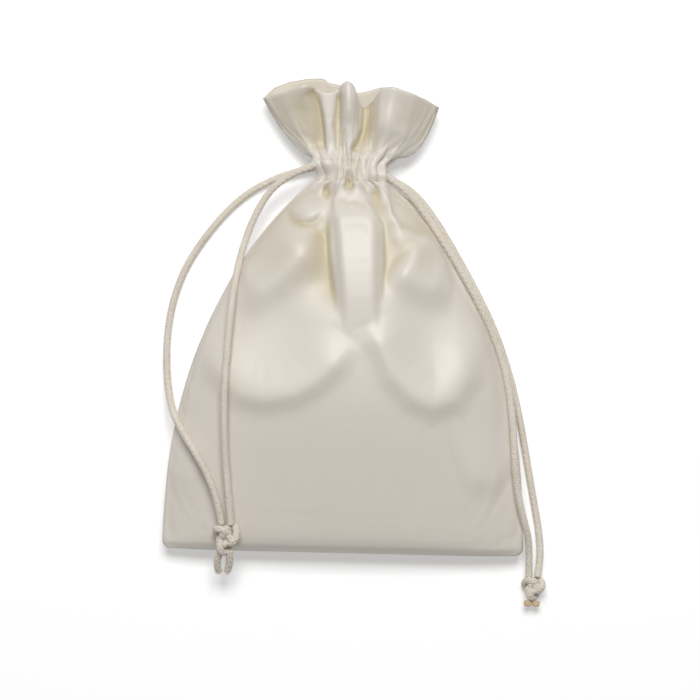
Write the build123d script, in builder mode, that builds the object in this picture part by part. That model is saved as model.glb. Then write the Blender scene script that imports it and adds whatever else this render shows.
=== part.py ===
from build123d import *
import os
from math import atan2, cos, degrees, exp, hypot, pi, radians, sin, tan

# Drawstring gift pouch in satin, lying on its back with the cords drawn tight.
# +X runs across the pouch, +Y from the base to the ruffled rim, +Z up from the surface it lies on.
# The origin is on the flat of the back, halfway between the base edge and the top of the rim.

# Cloth and seams
cloth = 0.6                    # one layer of satin
seam_allowance = 5.0           # turned inside along the sides and the base
seam_height = 8.5              # side seams above the resting surface
laid_length = 170.0            # base edge to the top of the rim
body_length = 132.0            # base edge to the lower row of casing stitches
base_half_width = 64.6
base_height = 1.0              # front and back at the base edge, away from the seam
belly_rise = 18.0              # fullness of the front, half way up
back_fullness = 11.0           # fullness of the back before it flattens on the surface
back_flatness = 6              # how sharply the back turns flat
rest_skim = 0.2                # how far the back is pressed flat
side_curve = 2.2               # how late the sides start to close in
side_roundness = 0.8           # how round the shoulders are
belly_roundness = 0.8
front_crown = (2.4, 0.62)      # exponents of the front's cross-section
back_crown = (5.0, 0.5)        # exponents of the back's flatter cross-section
header_crown = (2.6, 0.6)

# The front sags in two hollows between the gathers and what the pouch holds. Places on it are given
# as the distance to the right of the middle and the distance up from the base edge.
left_hollow = (-24.0, 83.0)
left_hollow_reach = (24.0, 29.0)
right_hollow = (28.5, 82.0)
right_hollow_reach = (18.0, 28.0)
hollow_depth = 6.0
hollow_lean = 0.4              # deeper towards the ridge and the gathers by this share
crest_rise = 1.8               # of the roll of cloth under each hollow
crest_spread = 0.14            # of that roll, as a share of the hollow's reach
ridge_foot = (4.5, 82.0)       # a ridge runs down from the gathers between the hollows
ridge_head = (0.0, 130.0)
ridge_rise = 3.0
ridge_spread = 4.5
edge_ease = 4.0                # height of the crown over which these forms fade in

# Drawcords
cord_diameter = 2.8
cord_pitch = 3.5               # between the two cords, side by side in the casing
channel_clearance = 0.3
cord_end_gap = 0.3             # between one stretch of cord and the next that moves

# Casing: a gathered ring, flattened to a racetrack
casing_height = 9.0
ring_straight = 4.8            # half the straight of the racetrack
ring_radius = 5.0              # at the middle of the cord
pleat_depth = 0.45
pleats_per_side = 8
mouth_width = 3.6              # of the slit that a cord leaves by

# Header: the ruffle above the casing, in layers folded at the rim
header_layers = 2
rim_half_width = 39.0          # of the ruffle, were it not cut back at its corners
rim_corner_half_width = 33.0
rim_corner_drop = 9.0          # the corners are lower than the middle of the rim
header_flare = 0.62            # how soon the ruffle opens
gather_share = 0.3             # of the header's height over which the gathered cloth thins out
back_mouth_height = 6.2        # of the open mouth, behind the side seams
back_ruffle_depth = 1.0
back_ruffle_waves = 1.6        # across half the width
front_ruffle = [               # share across from the middle, and crown of the front rim there
    (-1.0, 6.0), (-0.82, 10.0), (-0.66, 10.4), (-0.5, 11.0), (-0.36, 7.5), (-0.26, 8.4), (-0.17, 7.0),
    (-0.05, 10.8), (0.07, 7.6), (0.16, 5.8), (0.26, 7.3), (0.4, 11.0), (0.58, 10.8), (0.8, 10.0), (1.0, 6.0),
]

# Stitching
thread = 0.5
stitch_length = 2.2
stitch_pitch = 4.0
stitch_inset = 1.3             # seam stitches in from the edge
stitch_proud = 0.15
stitch_margin = 0.9            # casing rows in from the casing's edges
ring_stitch_pitch = 3.4

# Knots and cord ends
wrap_radius = 3.1              # from a knot's axis to the middle of a wrap
wrap_pitch = 2.7
wrap_tilt = 18.0
left_wraps = 3
right_wraps = 2
tail_length = 8.5
sealed_end_length = 2.0

# What follows from them
cord_radius = cord_diameter / 2
base_y = -laid_length / 2
casing_low_y = base_y + body_length
casing_top_y = casing_low_y + casing_height
rim_top_y = base_y + laid_length
header_height = rim_top_y - casing_top_y
channel_outer = ring_radius + cord_radius + channel_clearance
casing_outer = channel_outer + cloth
lining_outer = ring_radius - cord_radius - channel_clearance
lining_inner = lining_outer - cloth
gathered_thickness = casing_outer - lining_inner
casing_half_width = ring_straight + casing_outer
left_cord_y = (casing_low_y + casing_top_y + cord_pitch) / 2
right_cord_y = left_cord_y - cord_pitch
mouth_x = casing_half_width    # where the free cords turn as they are swung
upper_cord_z = seam_height + ring_radius
lower_cord_z = seam_height - ring_radius

back_shares = (0.0, 0.02, 0.05, 0.09, 0.16, 0.3, 0.46, 0.62, 0.76, 0.87, 0.95, 1.0)
front_shares = (0.0, 0.02, 0.05, 0.09, 0.16, 0.27, 0.36, 0.42, 0.48, 0.54, 0.6, 0.66, 0.72, 0.78, 0.84,
                0.9, 0.95, 1.0)
header_shares = (0.0, 0.1, 0.25, 0.45, 0.7, 1.0)
curve_spans = 36               # of one cross-section's curve
rim_margin = 2.0               # cloth cut away above the rim
pleat_points = 4               # that shape one pleat

# Corners of the free cords, from the casing's mouth to the knot. The outer strands lie on the
# surface beside the pouch, and the inner ones on the pouch.
left_outer_route = [
    (-mouth_x, left_cord_y, lower_cord_z), (-18.5, 51.4, 3.3), (-25.5, 49.2, 2.6), (-33.0, 45.8, 1.9),
    (-40.5, 40.4, 1.6), (-47.5, 33.0, 1.6), (-54.0, 24.3, 1.6), (-59.5, 14.8, 1.6), (-63.0, 4.5, 1.6),
    (-64.8, -6.0, 1.6), (-65.1, -16.5, 2.3), (-64.2, -26.8, 5.2), (-61.8, -36.4, 11.6),
    (-56.8, -44.4, 18.2), (-51.2, -52.3, 21.3), (-46.8, -60.5, 21.7), (-44.2, -68.5, 20.7),
    (-42.9, -75.3, 19.4),
]
left_inner_route = [
    (-mouth_x, left_cord_y, upper_cord_z), (-17.5, 51.2, 13.2), (-23.5, 48.2, 12.2),
    (-28.8, 43.8, 11.2), (-33.4, 36.2, 10.4), (-36.9, 27.2, 10.6), (-39.4, 17.0, 13.6),
    (-40.9, 6.5, 19.7), (-41.6, -4.5, 22.8), (-42.2, -16.0, 25.2), (-42.7, -27.5, 26.6),
    (-42.6, -39.0, 25.9), (-42.1, -50.0, 24.1), (-41.2, -60.5, 22.3), (-40.3, -68.8, 20.9),
    (-39.7, -75.3, 19.4),
]
right_inner_route = [
    (mouth_x, right_cord_y, upper_cord_z), (17.0, 46.8, 13.4), (22.1, 42.1, 13.2), (27.4, 35.3, 13.3),
    (32.5, 27.8, 14.0), (37.6, 20.0, 14.8), (42.4, 12.1, 14.7), (47.0, 3.8, 13.9), (51.1, -4.4, 13.3),
    (54.8, -13.2, 13.1), (57.4, -22.8, 13.4), (59.0, -32.8, 14.0), (59.9, -42.8, 15.0),
    (60.6, -52.5, 15.4), (61.8, -62.0, 14.5), (63.9, -70.4, 12.4), (66.4, -78.2, 8.9),
    (67.1, -86.2, 5.2), (67.2, -92.6, 4.3),
]
right_outer_route = [
    (mouth_x, right_cord_y, lower_cord_z), (18.3, 47.4, 3.3), (24.2, 43.0, 2.8), (29.8, 36.2, 2.2),
    (34.8, 28.6, 1.7), (39.7, 20.4, 1.6), (44.7, 11.8, 1.6), (49.5, 2.8, 1.6), (53.8, -6.4, 1.6),
    (57.4, -16.2, 1.6), (60.4, -26.2, 1.6), (62.8, -36.4, 1.6), (64.8, -46.4, 1.6), (66.6, -56.0, 1.6),
    (68.5, -65.6, 1.6), (70.3, -74.6, 1.7), (71.2, -82.4, 2.4), (70.9, -88.2, 3.4),
    (70.3, -92.6, 4.3),
]

# Knots: the middle of each, the way it points, and where the cut ends leave it
left_knot_centre = (-41.4, -80.7, 18.4)
left_knot_heading = (-0.05, -1.0, -0.3)
left_tail_roots = [(-43.3, -86.0, 16.6), (-40.3, -86.2, 16.6)]
left_tail_heading = (-0.1, -1.0, -0.75)
right_knot_centre = (68.75, -96.9, 4.65)
right_knot_heading = (-0.05, -1.0, 0.0)
right_end_roots = [(67.0, -101.2, 4.6), (70.0, -101.2, 4.6)]
right_end_heading = (-0.1, -1.0, 0.0)


def half_width(share):
    """Half the laid width of the body, at a share of its length from the base to the casing."""
    closing = (1 - share**side_curve) ** side_roundness
    return casing_half_width + (base_half_width - casing_half_width) * closing


def body_height(share, fullness):
    """How far the body's cloth stands from the seams' level, at its middle."""
    swell = (4 * share * (1 - share)) ** belly_roundness
    return base_height + (casing_outer - base_height) * share + fullness * swell


def back_depth(share):
    """Depth of the back below the seams, as far as the surface under it allows."""
    free = body_height(share, back_fullness)
    floor = seam_height + rest_skim
    return floor / (1 + (floor / free) ** back_flatness) ** (1 / back_flatness)


def hollow_form(x, up, middle, reach):
    """Height that one hollow and the roll of cloth under it add to the front."""
    across = (x - middle[0]) / reach[0]
    along = (up - middle[1]) / reach[1]
    out = hypot(across, along)
    lean = 1 + hollow_lean * (along - across * middle[0] / abs(middle[0]))
    sunk = hollow_depth * max(0.0, 1 - out**2.2) ** 1.2 * lean
    below = max(0.0, -along)
    return crest_rise * below * exp(-(((out - 1) / crest_spread) ** 2)) - sunk


def ridge_form(x, up):
    """Height that the ridge between the hollows adds to the front."""
    share = (up - ridge_foot[1]) / (ridge_head[1] - ridge_foot[1])
    middle = ridge_foot[0] + (ridge_head[0] - ridge_foot[0]) * share
    foot = 1 / (1 + exp(-9 * share))
    return ridge_rise * foot * exp(-(((x - middle) / ridge_spread) ** 2))


def front_form(x, up, rise):
    """Height that the front's hollows and ridge add to its crown, which is rise high there."""
    ease = 1 - exp(-((rise / edge_ease) ** 2))
    left = hollow_form(x, up, left_hollow, left_hollow_reach)
    right = hollow_form(x, up, right_hollow, right_hollow_reach)
    return ease * (left + right + ridge_form(x, up) * (1 - (up / body_length) ** 12))


def ruffle_height(across):
    """Crown of the front rim at a share of the half width from the middle."""
    for (start, low), (end, high) in zip(front_ruffle, front_ruffle[1:]):
        if across <= end:
            share = (across - start) / (end - start)
            return low + (high - low) * (1 - cos(pi * share)) / 2
    return front_ruffle[-1][1]


def header_half_width(share):
    """Half the width of the ruffle, at a share of its height above the casing."""
    return casing_half_width + (rim_half_width - casing_half_width) * share**header_flare


def header_thickness(share):
    """The gathers pack the cloth thick at the casing, and the rim is its bare layers."""
    bare = header_layers * cloth
    return bare + (gathered_thickness - bare) * max(0.0, 1 - share / gather_share)


def cloth_section(y, width, height, thickness, crown, side, form=None):
    """One layer of cloth cut across the pouch at y, crowned over or under the seams' level."""
    outward, roundness = crown
    edges = []
    for inset in (0, thickness):
        edge = []
        for step in range(curve_spans + 1):
            across = -cos(pi * step / curve_spans)
            x = (width - inset) * across
            rise = (height - inset) * (1 - abs(across) ** outward) ** roundness
            if form:
                rise = form(x, across, rise, inset)
            edge.append((x, seam_height + side * rise))
        edges.append(edge)
    outer, inner = edges
    with BuildSketch(Plane.XZ.offset(-y)) as section:
        with BuildLine():
            Spline(*outer)
            Line(outer[-1], inner[-1])
            Spline(*reversed(inner))
            Line(inner[0], outer[0])
        make_face()
    return section.sketch


def allowance(shares):
    """Plan of the turned-in edges along the sides and the base, at the seams' level."""
    edge = cloth / 2
    corner = seam_allowance / body_length
    inner_shares = [corner] + [share for share in shares if share > 2 * corner]
    outer = [(half_width(share) - edge, base_y + body_length * share) for share in shares]
    inner = [
        (half_width(share) - edge - seam_allowance, base_y + body_length * share)
        for share in inner_shares
    ]
    with BuildSketch(Plane.XY.offset(seam_height)) as plan:
        with BuildLine():
            Spline(*outer)
            Line(outer[-1], inner[-1])
            Spline(*reversed(inner))
            Line(inner[0], (-inner[0][0], inner[0][1]))
            Spline(*[(-x, y) for x, y in inner])
            Line((-inner[-1][0], inner[-1][1]), (-outer[-1][0], outer[-1][1]))
            Spline(*[(-x, y) for x, y in reversed(outer)])
            Line((-outer[0][0], outer[0][1]), outer[0])
        make_face()
    return plan.sketch


def racetrack_half(radius, side):
    """Half the ring at a radius, drawn in the open line: straight in the middle, round at the ends."""
    level = seam_height + side * radius
    turn = radius * sin(pi / 4)
    Line((-ring_straight, level), (ring_straight, level))
    for end in (-1, 1):
        ThreePointArc(
            (end * ring_straight, level),
            (end * (ring_straight + turn), seam_height + side * turn),
            (end * (ring_straight + radius), seam_height),
        )


def half_ring(inner_radius, outer_radius, side, y):
    """Section of half a plain ring between two radii, at y."""
    with BuildSketch(Plane.XZ.offset(-y)) as section:
        with BuildLine():
            for radius in (inner_radius, outer_radius):
                racetrack_half(radius, side)
            for end in (-1, 1):
                Line(
                    (end * (ring_straight + inner_radius), seam_height),
                    (end * (ring_straight + outer_radius), seam_height),
                )
        make_face()
    return section.sketch


def pleated_half(side, y):
    """Section of half the casing's outer cloth at y, with its pleats standing out."""
    lap = 2 * ring_straight + pi * casing_outer
    points = []
    for step in range(pleats_per_side * pleat_points + 1):
        share = step / (pleats_per_side * pleat_points)
        proud = casing_outer + pleat_depth * (1 - cos(2 * pi * pleats_per_side * share)) / 2
        place = ring_place(ring_straight - lap / 2 + lap * share, casing_outer, y)
        centre = place.origin + place.z_dir * (proud - casing_outer)
        points.append((centre.X, seam_height + side * (centre.Z - seam_height)))
    with BuildSketch(Plane.XZ.offset(-y)) as section:
        with BuildLine():
            Spline(*points)
            racetrack_half(channel_outer, side)
            for end in (-1, 1):
                Line(
                    (end * (ring_straight + channel_outer), seam_height),
                    (end * casing_half_width, seam_height),
                )
        make_face()
    return section.sketch


def ring_place(distance, radius, y):
    """Plane on the ring's outside, that far round it, with X along the ring and Z outwards."""
    straight = 2 * ring_straight
    arc = pi * radius
    lap = distance % (2 * straight + 2 * arc)
    if lap < straight:
        x, z, heading = lap - ring_straight, radius, pi / 2
    elif lap < straight + arc:
        heading = pi / 2 - (lap - straight) / radius
        x, z = ring_straight + radius * cos(heading), radius * sin(heading)
    elif lap < 2 * straight + arc:
        x, z, heading = ring_straight - (lap - straight - arc), -radius, -pi / 2
    else:
        heading = -pi / 2 - (lap - 2 * straight - arc) / radius
        x, z = -ring_straight + radius * cos(heading), radius * sin(heading)
    along = (sin(heading), 0, -cos(heading))
    outwards = (cos(heading), 0, sin(heading))
    return Plane(origin=(x, y, seam_height + z), x_dir=along, z_dir=outwards)


def corner_radii(route):
    """The largest arc that each corner's two runs allow."""
    corners = [Vector(*point) for point in route]
    radii = []
    for before, corner, after in zip(corners, corners[1:], corners[2:]):
        turn = (corner - before).get_angle(after - corner)
        shorter = min((corner - before).length, (after - corner).length)
        radii.append(0.45 * shorter / tan(radians(turn / 2)))
    return radii


def free_cord(route, label):
    """A strand that lies free: straight runs joined by arcs, with a round end in the casing's mouth."""
    radii = corner_radii(route)
    with BuildPart() as strand:
        with BuildLine() as path:
            FilletPolyline(*route, radius=radii)
        with BuildSketch(Plane(origin=path.line @ 0, z_dir=path.line % 0)):
            Circle(cord_radius)
        sweep()
        with Locations(route[0]):
            Sphere(cord_radius)
    length = path.wire().length
    expected = pi * cord_radius**2 * (length + 2 / 3 * cord_radius)
    print(f"{label}: {length:.1f} mm, volume {strand.part.volume:.0f} of {expected:.0f} mm3")
    print("  radii", [round(radius) for radius in radii])
    return strand.part


def knot(centre, wraps, heading):
    """Turns of cord drawn tight round a core, along the knot's axis."""
    axis = Plane(origin=centre, z_dir=heading)
    reach = (wraps - 1) * wrap_pitch / 2 + cord_radius + wrap_radius * sin(radians(wrap_tilt))
    with BuildPart(axis) as tied:
        Cylinder(wrap_radius, 2 * reach)
        fillet(tied.edges(), radius=cord_radius / 2)
        for wrap in range(wraps):
            offset = (wrap - (wraps - 1) / 2) * wrap_pitch
            lean = wrap_tilt if wrap % 2 else -wrap_tilt
            with Locations((0, 0, offset)):
                Torus(wrap_radius, cord_radius, rotation=(lean, 0, 0))
    return tied.part


def cord_ends(roots, heading, length):
    """Short cut ends of cord, rounded over at their tips."""
    with BuildPart() as ends:
        for root in roots:
            with BuildSketch(Plane(origin=root, z_dir=heading)) as foot:
                Circle(cord_radius)
            extrude(foot.sketch, amount=length)
        tips = ends.faces().filter_by(GeomType.PLANE).sort_by_distance(Vector(*heading) * 1000)
        fillet(tips[: len(roots)].edges(), radius=cord_radius * 0.6)
    return ends.part


def front_panel_sections():
    """Sections of the body's front, from the base edge to the casing."""
    sections = []
    for share in front_shares:
        up = body_length * share
        sections.append(cloth_section(
            base_y + up, half_width(share), body_height(share, belly_rise), cloth, front_crown, 1,
            lambda x, across, rise, inset: rise + front_form(x, up, rise),
        ))
    return sections


def back_panel_sections():
    """Sections of the body's back, from the base edge to the casing."""
    return [
        cloth_section(
            base_y + body_length * share, half_width(share), back_depth(share), cloth, back_crown, -1,
        )
        for share in back_shares
    ]


def header_sections(side):
    """Sections of one side of the ruffle, from the casing to above the rim."""
    length = header_height + rim_margin
    sections = []
    for share in header_shares:
        if side > 0:
            height = casing_outer

            def form(x, across, rise, inset):
                """The gathers' crown opens into the ruffle of the front rim."""
                ruffled = (ruffle_height(across) - inset) / (casing_outer - inset)
                return rise * (1 - share + share * ruffled)
        else:
            height = casing_outer + (back_mouth_height - casing_outer) * share

            def form(x, across, rise, inset):
                """Even waves along the back rim."""
                wave = cos(2 * pi * back_ruffle_waves * across) * (1 - across**2)
                return rise + back_ruffle_depth * share * wave
        sections.append(cloth_section(
            casing_top_y + length * share, header_half_width(share), height, header_thickness(share),
            header_crown, side, form,
        ))
    return sections


def rim_plan():
    """Plan of the ruffle, whose rim runs in an arc from corner to corner."""
    corner_y = rim_top_y - rim_corner_drop
    low_y = casing_top_y - rim_margin
    with BuildSketch(Plane.XY) as plan:
        with BuildLine():
            left, right = -rim_corner_half_width, rim_corner_half_width
            far = 2 * rim_half_width
            ThreePointArc((left, corner_y), (0, rim_top_y), (right, corner_y))
            Polyline(
                (right, corner_y), (far, corner_y), (far, low_y), (-far, low_y), (-far, corner_y),
                (left, corner_y),
            )
        make_face()
    return plan.sketch


def finish(part, label):
    """Name a piece and write it."""
    part.label = label
    export_step(part, f"parts/{label}.step")


os.makedirs("parts", exist_ok=True)

# The body's front and back, each with its turned-in edges
with BuildPart() as front_panel:
    loft(front_panel_sections())
    extrude(allowance(front_shares), amount=cloth)
finish(front_panel.part, "front_panel")

with BuildPart() as back_panel:
    loft(back_panel_sections())
    extrude(allowance(back_shares), amount=-cloth)
    split(bisect_by=Plane.XY, keep=Keep.TOP)
finish(back_panel.part, "back_panel")

# The casing: outer cloth in pleats, with a mouth for one cord at each end, and the lining inside it
for side, name in ((1, "front"), (-1, "back")):
    with BuildPart() as casing:
        extrude(pleated_half(side, casing_low_y), amount=-casing_height)
        for end, cord_y in ((-1, left_cord_y), (1, right_cord_y)):
            with Locations((end * (ring_straight + casing_outer), cord_y, seam_height)):
                Box(2 * casing_outer, mouth_width, 4 * casing_outer, mode=Mode.SUBTRACT)
    finish(casing.part, f"{name}_casing")

    with BuildPart() as lining:
        extrude(half_ring(lining_inner, lining_outer, side, casing_low_y), amount=-casing_height)
        extrude(half_ring(lining_inner, channel_outer, side, casing_low_y), amount=-cloth)
    finish(lining.part, f"{name}_lining")

# The ruffled header
for side, name in ((1, "front"), (-1, "back")):
    with BuildPart() as header:
        loft(header_sections(side))
        extrude(rim_plan(), amount=4 * seam_height, mode=Mode.INTERSECT)
    finish(header.part, f"{name}_header")

# Seams: each stitch goes through both turned-in edges
stitch_depth = cloth + stitch_proud
side_stitches = round(body_length / stitch_pitch)
for end, name in ((-1, "left"), (1, "right")):
    with BuildPart() as side_seam:
        for stitch in range(1, side_stitches):
            share = stitch / side_stitches
            step = 0.5 / side_stitches
            rise = half_width(share + step) - half_width(share - step)
            lean = degrees(atan2(body_length * 2 * step, end * rise))
            with BuildSketch(Plane.XY.offset(seam_height)):
                with Locations((end * (half_width(share) - stitch_inset), base_y + body_length * share)):
                    SlotOverall(stitch_length, thread, rotation=lean)
            extrude(amount=stitch_depth, both=True)
    finish(side_seam.part, f"{name}_side_seam")

base_stitches = round(2 * (base_half_width - seam_allowance) / stitch_pitch)
with BuildPart() as base_seam:
    with BuildSketch(Plane.XY.offset(seam_height)):
        with Locations((0, base_y + stitch_inset)):
            with GridLocations(stitch_pitch, 1, base_stitches, 1):
                SlotOverall(stitch_length, thread)
    extrude(amount=stitch_depth, both=True)
finish(base_seam.part, "base_seam")

# Rows of stitches round the casing, pressed into its outer cloth
ring_lap = 4 * ring_straight + 2 * pi * casing_outer
ring_stitches = 2 * round(ring_lap / (2 * ring_stitch_pitch))
for y, name in ((casing_low_y + stitch_margin, "lower"), (casing_top_y - stitch_margin, "upper")):
    with BuildPart() as stitch_row:
        for stitch in range(ring_stitches):
            place = ring_place((stitch + 0.5) * ring_lap / ring_stitches, casing_outer, y)
            with BuildSketch(place.offset(pleat_depth + stitch_proud)):
                SlotOverall(stitch_length, thread)
            extrude(amount=-(pleat_depth + stitch_proud + cloth / 2))
    finish(stitch_row.part, f"{name}_stitch_row")

# Drawcords inside the casing: a bend round the far end, and two runs that slide when they are pulled
run_end = mouth_x - cord_radius - cord_end_gap
for end, cord_y, name in ((-1, left_cord_y, "left"), (1, right_cord_y, "right")):
    with BuildPart() as bend:
        with BuildLine():
            ThreePointArc(
                (-end * ring_straight, cord_y, upper_cord_z),
                (-end * (ring_straight + ring_radius), cord_y, seam_height),
                (-end * ring_straight, cord_y, lower_cord_z),
            )
        with BuildSketch(Plane(origin=(-end * ring_straight, cord_y, upper_cord_z), z_dir=(-end, 0, 0))):
            Circle(cord_radius)
        sweep()
    finish(bend.part, f"{name}_cord_bend")
    for level, height in (("upper", upper_cord_z), ("lower", lower_cord_z)):
        with BuildPart() as run:
            with BuildSketch(Plane.YZ.offset(-end * (ring_straight - cord_end_gap))):
                with Locations((cord_y, height)):
                    Circle(cord_radius)
            extrude(amount=end * (ring_straight - cord_end_gap + run_end))
        finish(run.part, f"{name}_{level}_run")

# Free cords
finish(free_cord(left_outer_route, "left_outer_strand"), "left_outer_strand")
finish(free_cord(left_inner_route, "left_inner_strand"), "left_inner_strand")
finish(free_cord(right_outer_route, "right_outer_strand"), "right_outer_strand")
finish(free_cord(right_inner_route, "right_inner_strand"), "right_inner_strand")

# Knots, where each cord's two strands are tied together, and the cut ends below them
finish(knot(left_knot_centre, left_wraps, left_knot_heading), "left_knot")
finish(knot(right_knot_centre, right_wraps, right_knot_heading), "right_knot")
finish(cord_ends(left_tail_roots, left_tail_heading, tail_length), "left_cord_tails")
finish(cord_ends(right_end_roots, right_end_heading, sealed_end_length), "right_sealed_ends")
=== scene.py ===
"""Drawstring gift pouch in ivory satin with two braided drawcords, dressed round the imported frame."""
import logging
import math
from dataclasses import dataclass, field
from enum import Enum
from typing import Sequence

import bpy
import numpy as np
from mathutils import Matrix, Vector


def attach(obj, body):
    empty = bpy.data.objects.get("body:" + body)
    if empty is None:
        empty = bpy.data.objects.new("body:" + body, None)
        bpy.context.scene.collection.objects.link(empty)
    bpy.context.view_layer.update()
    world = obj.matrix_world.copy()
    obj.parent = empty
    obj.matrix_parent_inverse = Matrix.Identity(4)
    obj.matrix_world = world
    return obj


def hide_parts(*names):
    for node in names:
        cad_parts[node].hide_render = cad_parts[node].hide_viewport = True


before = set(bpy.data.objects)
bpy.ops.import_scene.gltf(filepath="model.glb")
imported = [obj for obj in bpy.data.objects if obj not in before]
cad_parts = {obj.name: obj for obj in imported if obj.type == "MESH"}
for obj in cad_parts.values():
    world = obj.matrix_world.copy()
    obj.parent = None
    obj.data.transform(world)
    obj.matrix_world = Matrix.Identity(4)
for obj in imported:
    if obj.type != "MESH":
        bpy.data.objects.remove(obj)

LOG = logging.getLogger("pouch")
MM = 0.001
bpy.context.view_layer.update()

Point2 = tuple[float, float]
Point3 = tuple[float, float, float]


class Side(Enum):
    """Which face of the pouch a sheet belongs to."""

    FRONT = 1
    BACK = -1


# ---------------------------------------------------------------- small helpers


def smooth_step(low: float, high: float, value: np.ndarray | float) -> np.ndarray | float:
    """Ease from 0 to 1 between two values.

    Args:
        low: where the ease begins.
        high: where it ends.
        value: what is eased.

    Returns:
        0 below low, 1 above high and a smooth curve between them.
    """
    share = np.clip((value - low) / (high - low), 0.0, 1.0)
    return share * share * (3.0 - 2.0 * share)


def distance_to_line(x: np.ndarray, y: np.ndarray, line: Sequence[Point2]) -> tuple[np.ndarray, np.ndarray]:
    """Measure how far points lie from a line of runs.

    Args:
        x: the points' x.
        y: the points' y.
        line: the line's corners in order.

    Returns:
        The distances, positive to the left of the line, and the share of the line passed.
    """
    corners = np.array(line, float)
    best = np.full(x.shape, 1e9)
    sign = np.ones(x.shape)
    share = np.zeros(x.shape)
    runs = len(corners) - 1
    for number in range(runs):
        start = corners[number]
        step = corners[number + 1] - start
        length = float(np.hypot(*step))
        along = np.clip(((x - start[0]) * step[0] + (y - start[1]) * step[1]) / length**2, 0.0, 1.0)
        dx = x - start[0] - along * step[0]
        dy = y - start[1] - along * step[1]
        gap = np.hypot(dx, dy)
        nearer = gap < best
        best = np.where(nearer, gap, best)
        side = np.where(step[0] * dy - step[1] * dx >= 0.0, 1.0, -1.0)
        sign = np.where(nearer, side, sign)
        share = np.where(nearer, (number + along) / runs, share)
    return best * sign, share


def spread_evenly(points: np.ndarray, count: int) -> np.ndarray:
    """Put points at even steps along a line.

    Args:
        points: the line's points, one a row.
        count: how many points to give back.

    Returns:
        The new points.
    """
    steps = np.linalg.norm(np.diff(points, axis=0), axis=1)
    passed = np.concatenate([[0.0], np.cumsum(steps)])
    wanted = np.linspace(0.0, passed[-1], count)
    return np.stack([np.interp(wanted, passed, points[:, axis]) for axis in range(points.shape[1])], axis=1)


def soften(values: np.ndarray, reach: int) -> np.ndarray:
    """Round the corners of a run of values with a weighted mean.

    Args:
        values: the values, one a row.
        reach: how many neighbours on each side are taken in.

    Returns:
        The softened values.
    """
    weights = np.hanning(2 * reach + 3)[1:-1]
    weights = weights / weights.sum()
    padded = np.pad(values, ((reach, reach), (0, 0)), mode="edge")
    columns = [np.convolve(padded[:, axis], weights, "valid") for axis in range(values.shape[1])]
    return np.stack(columns, axis=1)


def select_none() -> None:
    """Deselect every object."""
    for thing in bpy.context.selected_objects:
        thing.select_set(False)


def make_active(piece: bpy.types.Object) -> None:
    """Select one object alone and make it the active one."""
    select_none()
    piece.select_set(True)
    bpy.context.view_layer.objects.active = piece


def mesh_piece(name: str, points: np.ndarray, faces: list[tuple[int, ...]]) -> bpy.types.Object:
    """Make a smooth-shaded mesh object.

    Args:
        name: the object's name.
        points: its corners in metres.
        faces: its faces as corner numbers.

    Returns:
        The linked object.
    """
    mesh = bpy.data.meshes.new(name)
    mesh.from_pydata(np.asarray(points).tolist(), [], faces)
    mesh.update()
    mesh.shade_smooth()
    piece = bpy.data.objects.new(name, mesh)
    bpy.context.scene.collection.objects.link(piece)
    return piece


def apply_modifiers(piece: bpy.types.Object) -> None:
    """Apply every modifier of a piece, in order."""
    make_active(piece)
    for modifier in list(piece.modifiers):
        bpy.ops.object.modifier_apply(modifier=modifier.name)


def dress(piece: bpy.types.Object, material: bpy.types.Material) -> None:
    """Give a piece one material all over."""
    piece.data.materials.clear()
    piece.data.materials.append(material)


# ---------------------------------------------------------------- finishes


def new_group(name: str, inputs: dict[str, tuple[str, float]], outputs: dict[str, str]) -> bpy.types.NodeTree:
    """Start a shader node group.

    Args:
        name: the group's name.
        inputs: each input's socket type and first value.
        outputs: each output's socket type.

    Returns:
        The group, with its input and output nodes in it.
    """
    group = bpy.data.node_groups.new(name, "ShaderNodeTree")
    for label, (kind, value) in inputs.items():
        socket = group.interface.new_socket(label, in_out="INPUT", socket_type=kind)
        if kind == "NodeSocketFloat":
            socket.default_value = value
    for label, kind in outputs.items():
        group.interface.new_socket(label, in_out="OUTPUT", socket_type=kind)
    group.nodes.new("NodeGroupInput")
    group.nodes.new("NodeGroupOutput")
    return group


def set_inputs(node: bpy.types.Node, values: dict[str, float | tuple[float, ...]]) -> None:
    """Set several inputs of a node to fixed values."""
    for label, value in values.items():
        node.inputs[label].default_value = value


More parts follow.
